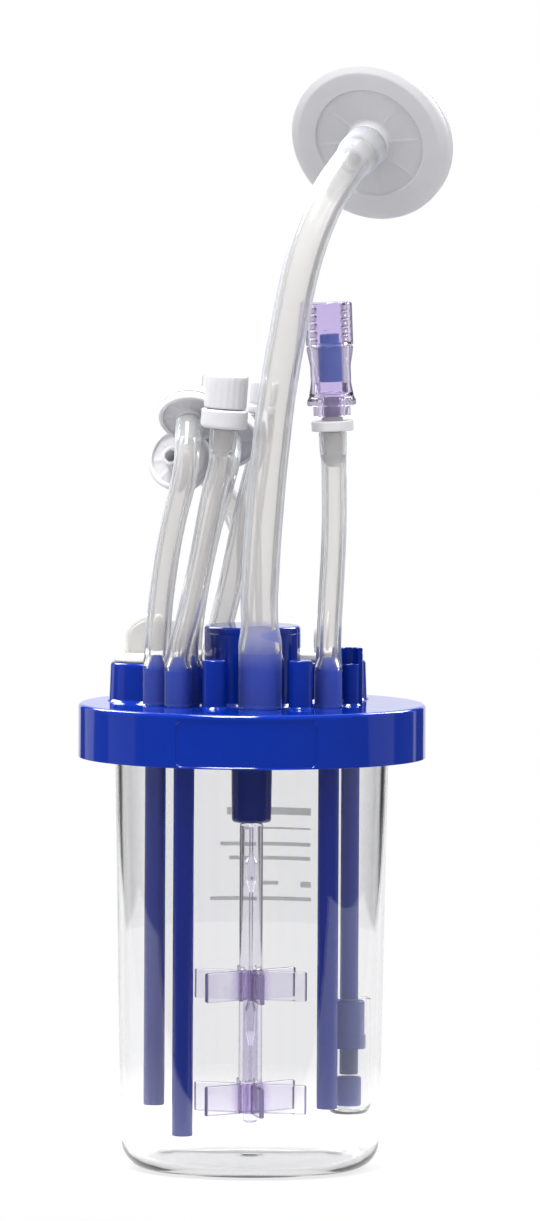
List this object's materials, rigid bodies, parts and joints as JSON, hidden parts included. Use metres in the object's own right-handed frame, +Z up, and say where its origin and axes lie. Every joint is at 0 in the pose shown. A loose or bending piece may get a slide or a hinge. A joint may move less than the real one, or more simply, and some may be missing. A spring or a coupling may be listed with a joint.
{
  "type": "bench bioreactor",
  "caption": "Small stirred bioreactor: clear jar under a blue lid with hoses, disc filters, sampling valve, port plugs, dip tubes and a bladed stirrer.",
  "frame": {"origin": "centre of the jar foot ring, on the surface it stands on", "axes": "+Z up along the stirrer, -Y is the front with the bare rim panel, +X is the right seen from the front"},
  "size_m": [0.0942, 0.088, 0.2809],
  "materials": {
    "clear_jar": "clear moulded polycarbonate",
    "blue_lid": "glossy moulded polycarbonate",
    "blue_tube": "moulded polypropylene",
    "white_plug": "translucent polyethylene",
    "white_filter": "translucent polypropylene",
    "membrane": "porous film",
    "clear_hose": "clear elastomer",
    "lavender_clear": "clear tinted polycarbonate",
    "valve_blue": "silicone",
    "seal_rubber": "silicone",
    "bearing_plastic": "acetal",
    "magnet": "nickel plated magnet",
    "clear_cup": "clear moulded polycarbonate"
  },
  "bodies": {
    "body": {"vessel": "clear_jar", "vessel_seal": "seal_rubber", "head_plate": "blue_lid", "hub_cap": "blue_lid", "upper_bearing": "bearing_plastic", "lower_bearing": "bearing_plastic", "shaft_seal": "seal_rubber", "inlet_tube": "blue_tube", "sample_tube": "blue_tube", "harvest_tube": "blue_tube", "sensor_tube": "blue_tube", "sensor_cup": "clear_cup", "sensor_collar": "blue_tube", "sensor_insert": "blue_tube", "feed_hose_1": "clear_hose", "feed_hose_2": "clear_hose", "feed_hose_3": "clear_hose", "feed_hose_4": "clear_hose", "feed_hose_5": "clear_hose", "sample_hose": "clear_hose", "vent_hose": "clear_hose", "filter_a_hose_shell": "white_filter", "filter_a_far_shell": "white_filter", "filter_b_hose_shell": "white_filter", "filter_b_far_shell": "white_filter", "filter_c_hose_shell": "white_filter", "filter_c_far_shell": "white_filter", "main_feed_adapter": "white_filter", "main_feed_cap": "white_filter", "side_feed_adapter": "white_filter", "side_feed_cap": "white_filter", "vent_filter_front": "white_filter", "vent_filter_back": "white_filter", "vent_membrane": "membrane", "sample_adapter": "white_filter", "valve_body": "lavender_clear", "valve_collar": "lavender_clear"},
    "stirrer": {"impeller_shaft": "lavender_clear", "shaft_spacer": "lavender_clear", "upper_impeller": "lavender_clear", "lower_impeller": "lavender_clear", "drive_coupling": "blue_tube", "magnet_1": "magnet", "magnet_2": "magnet", "magnet_3": "magnet", "magnet_4": "magnet"},
    "left_stopper": {"left_plug": "white_plug"},
    "right_stopper": {"right_plug": "white_plug"},
    "valve_core": {"valve_piston": "valve_blue"}
  },
  "joints": [
    {"name": "stirrer_spin", "type": "hinge", "parent": "body", "child": "stirrer", "pos_m": [0, 0, 0.1], "axis": [0, 0, 1], "continuous": true},
    {"name": "left_plug_pull", "type": "slide", "parent": "body", "child": "left_stopper", "axis": [0, 0, 1], "range_m": [0, 0.012]},
    {"name": "right_plug_pull", "type": "slide", "parent": "body", "child": "right_stopper", "axis": [0, 0, 1], "range_m": [0, 0.012]},
    {"name": "valve_press", "type": "slide", "parent": "body", "child": "valve_core", "axis": [0.04, 0, -0.9992], "range_m": [0, 0.003], "stiffness_N_per_m": 400, "springref_m": -0.001}
  ]
}
